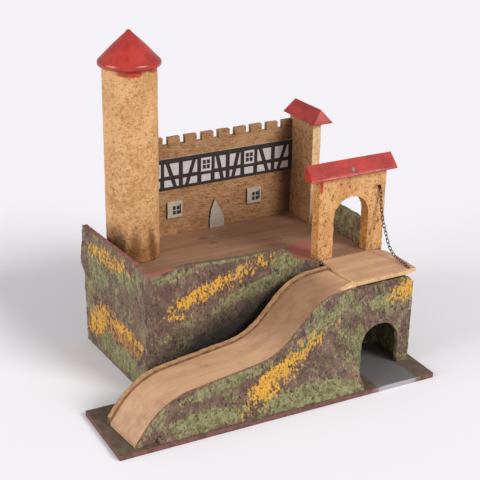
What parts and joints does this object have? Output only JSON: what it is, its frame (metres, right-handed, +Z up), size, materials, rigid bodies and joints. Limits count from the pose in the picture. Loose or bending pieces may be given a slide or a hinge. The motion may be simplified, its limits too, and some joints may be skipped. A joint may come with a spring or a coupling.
{
  "type": "toy castle",
  "caption": "Toy castle with a round tower, a battlemented wall and a gatehouse on a plateau, a hinged drawbridge on a chain and a loose ramp with a tunnel",
  "frame": {"origin": "the middle of the foot of the plateau's front wall, half way through that board, on the table", "axes": "+X to the right along the front wall, +Y back towards the battlemented wall, +Z up"},
  "size_m": [0.3384, 0.2424, 0.324],
  "materials": {
    "sand_coat": "matt, sand-textured ochre paint",
    "gate_coat": "matt, sand-textured orange-ochre paint",
    "rock_coat": "matt, lumpy olive and brown coat",
    "deck_paint": "matt tan stain over bare wood",
    "road_paint": "smooth satin tan paint",
    "roof_paint": "glossy red paint",
    "bare_wood": "bare softwood",
    "base_paint": "matt brown-green paint",
    "tube_coat": "matt, sand-textured ochre paint on cardboard tube",
    "strip_panels": "matt whitish panels",
    "strip_timbers": "matt near-black timbers",
    "card_paint": "matt off-white card",
    "steel_wire": "dull drawn wire",
    "chain_wire": "dark wire, rusty near the ends"
  },
  "bodies": {
    "castle": {"front_wall": "rock_coat", "left_wall": "rock_coat", "right_wall": "rock_coat", "back_board": "rock_coat", "deck_batten_front": "bare_wood", "deck_batten_back": "bare_wood", "courtyard_deck": "deck_paint", "right_bank": "rock_coat", "tower_tube": "tube_coat", "tower_foot_disc": "bare_wood", "tower_roof": "roof_paint", "crenellated_wall": "sand_coat", "half_timber_card": "strip_panels", "half_timber_frame": "strip_timbers", "window_card_left": "card_paint", "window_card_right": "card_paint", "door_card": "card_paint", "square_tower": "sand_coat", "square_tower_roof": "roof_paint", "gatehouse_roof_nail": "steel_wire", "gatehouse": "gate_coat", "gatehouse_roof": "roof_paint", "chain_peg": "steel_wire", "hinge_eye_left": "steel_wire", "hinge_eye_right": "steel_wire", "ramp_base": "base_paint", "portal_board": "rock_coat", "block_back_board": "rock_coat", "block_inner_wall": "rock_coat", "block_end_wall": "rock_coat", "platform": "road_paint", "hill_front_board": "rock_coat", "hill_back_board": "rock_coat", "road_sheet": "road_paint", "kerb_wedge": "road_paint", "hill_foot_bank": "rock_coat", "chain": "chain_wire"},
    "drawbridge": {"drawbridge": "road_paint", "hinge_wire": "steel_wire", "chain_pin": "steel_wire"}
  },
  "joints": [
    {"name": "drawbridge_hinge", "type": "hinge", "parent": "castle", "child": "drawbridge", "pos_m": [0.0926, 0.0029, 0.098], "axis": [-1, 0, 0], "range_deg": [0, 88], "deforming": ["chain"]}
  ]
}
